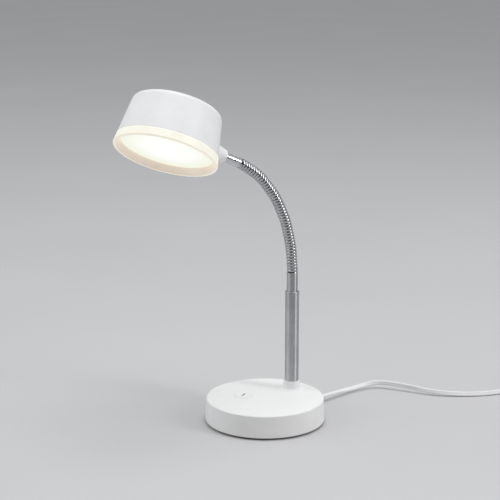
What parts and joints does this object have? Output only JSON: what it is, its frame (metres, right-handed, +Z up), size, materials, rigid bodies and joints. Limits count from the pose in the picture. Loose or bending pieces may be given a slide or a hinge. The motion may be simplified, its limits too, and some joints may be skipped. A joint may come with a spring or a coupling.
{
  "type": "desk lamp",
  "caption": "White desk lamp: round weighted base with a push switch, short steel stem, bending gooseneck neck, shallow drum LED head with a lit frosted panel, and a mains cord.",
  "frame": {"origin": "middle of the round base's underside, on the surface the lamp stands on", "axes": "+Z up; -Y is the front, where the untwisted head faces; +Y is the rear, where the stem stands and the cord leaves; +X completes the right-handed frame"},
  "size_m": [0.2933, 0.5495, 0.3447],
  "materials": {
    "white_gloss": "polished",
    "white_satin": "satin",
    "white_matte": "matte",
    "diffuser": "satin",
    "frosted_panel": "satin",
    "chrome": "polished",
    "neck_steel": "satin",
    "steel": "satin",
    "cast_iron": "cast",
    "rubber_dark": "matte",
    "aluminium": "satin",
    "board_white": "matte",
    "chip_yellow": "satin",
    "flex_white": "satin",
    "pin_brass": "polished",
    "black_plastic": "matte"
  },
  "bodies": {
    "base": {"base_shell": "white_gloss", "base_plate": "steel", "ballast": "cast_iron", "foot_pad": "rubber_dark", "plate_screws": "steel", "stem_tube": "chrome", "stem_sleeve": "chrome", "stem_collar": "white_satin", "stem_nipple": "steel", "stem_washer": "steel", "stem_nut": "steel", "switch_bezel": "white_gloss", "switch_body": "black_plastic", "cord_gland": "flex_white", "cord_inner": "flex_white", "cord_clamp": "white_matte", "clamp_screws": "steel", "terminal_block": "white_matte", "driver_case": "white_matte", "neck_root": "neck_steel", "power_cord": "flex_white", "cord_coil": "flex_white", "cord_tail": "flex_white", "plug_body": "flex_white", "plug_pins": "pin_brass"},
    "switch_button": {"switch_button": "white_gloss"},
    "neck_link_01": {"neck_link_01": "neck_steel"},
    "neck_link_02": {"neck_link_02": "neck_steel"},
    "neck_link_03": {"neck_link_03": "neck_steel"},
    "neck_link_04": {"neck_link_04": "neck_steel"},
    "neck_link_05": {"neck_link_05": "neck_steel"},
    "neck_link_06": {"neck_link_06": "neck_steel"},
    "neck_link_07": {"neck_link_07": "neck_steel"},
    "neck_link_08": {"neck_link_08": "neck_steel"},
    "neck_link_09": {"neck_link_09": "neck_steel"},
    "neck_link_10": {"neck_link_10": "neck_steel"},
    "neck_link_11": {"neck_link_11": "neck_steel"},
    "neck_link_12": {"neck_link_12": "neck_steel"},
    "neck_link_13": {"neck_link_13": "neck_steel"},
    "neck_link_14": {"neck_link_14": "neck_steel"},
    "head": {"neck_tip": "neck_steel", "neck_sleeve": "chrome", "head_nozzle": "white_satin", "nozzle_nut": "steel", "head_housing": "white_satin", "diffuser_skirt": "diffuser", "light_panel": "frosted_panel", "reflector": "white_matte", "led_board": "board_white", "led_chips": "chip_yellow", "heat_sink": "aluminium", "board_screws": "steel"}
  },
  "joints": [
    {"name": "neck_bend_01", "type": "hinge", "parent": "base", "child": "neck_link_01", "pos_m": [0, 0.0375, 0.15309], "axis": [0.9282, -0.372, 0], "range_deg": [-4, 0.71]},
    {"name": "neck_sway_1", "type": "hinge", "parent": "neck_link_01", "child": "neck_link_02", "pos_m": [-0.00024, 0.0369, 0.16234], "axis": [-0.3711, -0.926, -0.0698], "range_deg": [-9.01, 9.01]},
    {"name": "neck_bend_02", "type": "hinge", "parent": "neck_link_02", "child": "neck_link_03", "pos_m": [-0.00048, 0.0363, 0.17158], "axis": [0.9282, -0.372, 0], "range_deg": [-4.01, 0.72]},
    {"name": "neck_bend_03", "type": "hinge", "parent": "neck_link_03", "child": "neck_link_04", "pos_m": [-0.00096, 0.0351, 0.18076], "axis": [0.9282, -0.372, 0], "range_deg": [-4.41, 0.8]},
    {"name": "neck_sway_2", "type": "hinge", "parent": "neck_link_04", "child": "neck_link_05", "pos_m": [-0.0017, 0.03325, 0.18982], "axis": [-0.3633, -0.9066, -0.2147], "range_deg": [-9.01, 9.01]},
    {"name": "neck_bend_04", "type": "hinge", "parent": "neck_link_05", "child": "neck_link_06", "pos_m": [-0.00244, 0.03141, 0.19887], "axis": [0.9282, -0.372, 0], "range_deg": [-5.11, 0.92]},
    {"name": "neck_bend_05", "type": "hinge", "parent": "neck_link_06", "child": "neck_link_07", "pos_m": [-0.00348, 0.02882, 0.20771], "axis": [0.9282, -0.372, 0], "range_deg": [-5.91, 1.06]},
    {"name": "neck_sway_3", "type": "hinge", "parent": "neck_link_07", "child": "neck_link_08", "pos_m": [-0.00485, 0.0254, 0.21622], "axis": [-0.3414, -0.8519, -0.3971], "range_deg": [-9, 9]},
    {"name": "neck_bend_06", "type": "hinge", "parent": "neck_link_08", "child": "neck_link_09", "pos_m": [-0.00622, 0.02198, 0.22473], "axis": [0.9282, -0.372, 0], "range_deg": [-6.41, 1.15]},
    {"name": "neck_bend_07", "type": "hinge", "parent": "neck_link_09", "child": "neck_link_10", "pos_m": [-0.00793, 0.01771, 0.23277], "axis": [0.9282, -0.372, 0], "range_deg": [-7.11, 1.28]},
    {"name": "neck_sway_4", "type": "hinge", "parent": "neck_link_10", "child": "neck_link_11", "pos_m": [-0.01, 0.01254, 0.24019], "axis": [-0.2975, -0.7423, -0.6004], "range_deg": [-9.01, 9.01]},
    {"name": "neck_bend_08", "type": "hinge", "parent": "neck_link_11", "child": "neck_link_12", "pos_m": [-0.01207, 0.00738, 0.2476], "axis": [0.9282, -0.372, 0], "range_deg": [-8.21, 1.47]},
    {"name": "neck_bend_09", "type": "hinge", "parent": "neck_link_12", "child": "neck_link_13", "pos_m": [-0.01452, 0.00128, 0.25414], "axis": [0.9282, -0.372, 0], "range_deg": [-9.61, 1.72]},
    {"name": "neck_sway_5", "type": "hinge", "parent": "neck_link_13", "child": "neck_link_14", "pos_m": [-0.01733, -0.00574, 0.2595], "axis": [-0.215, -0.5364, -0.8161], "range_deg": [-9.01, 9.01]},
    {"name": "neck_bend_10", "type": "hinge", "parent": "neck_link_14", "child": "head", "pos_m": [-0.02015, -0.01276, 0.26486], "axis": [0.9282, -0.372, 0], "range_deg": [-11.21, 2.01]},
    {"name": "switch_press", "type": "slide", "parent": "base", "child": "switch_button", "axis": [0, 0, -1], "range_m": [0, 0.0018], "stiffness_N_per_m": 400, "springref_m": -0.0005}
  ],
  "couplings": [
    {"joint": "neck_sway_1", "follows": "neck_sway_3", "ratio": 1},
    {"joint": "neck_bend_02", "follows": "neck_bend_01", "ratio": 1},
    {"joint": "neck_bend_03", "follows": "neck_bend_01", "ratio": 1.1},
    {"joint": "neck_sway_2", "follows": "neck_sway_3", "ratio": 1},
    {"joint": "neck_bend_04", "follows": "neck_bend_01", "ratio": 1.275},
    {"joint": "neck_bend_05", "follows": "neck_bend_01", "ratio": 1.475},
    {"joint": "neck_bend_06", "follows": "neck_bend_01", "ratio": 1.6},
    {"joint": "neck_bend_07", "follows": "neck_bend_01", "ratio": 1.775},
    {"joint": "neck_sway_4", "follows": "neck_sway_3", "ratio": 1},
    {"joint": "neck_bend_08", "follows": "neck_bend_01", "ratio": 2.05},
    {"joint": "neck_bend_09", "follows": "neck_bend_01", "ratio": 2.4},
    {"joint": "neck_sway_5", "follows": "neck_sway_3", "ratio": 1},
    {"joint": "neck_bend_10", "follows": "neck_bend_01", "ratio": 2.8}
  ]
}
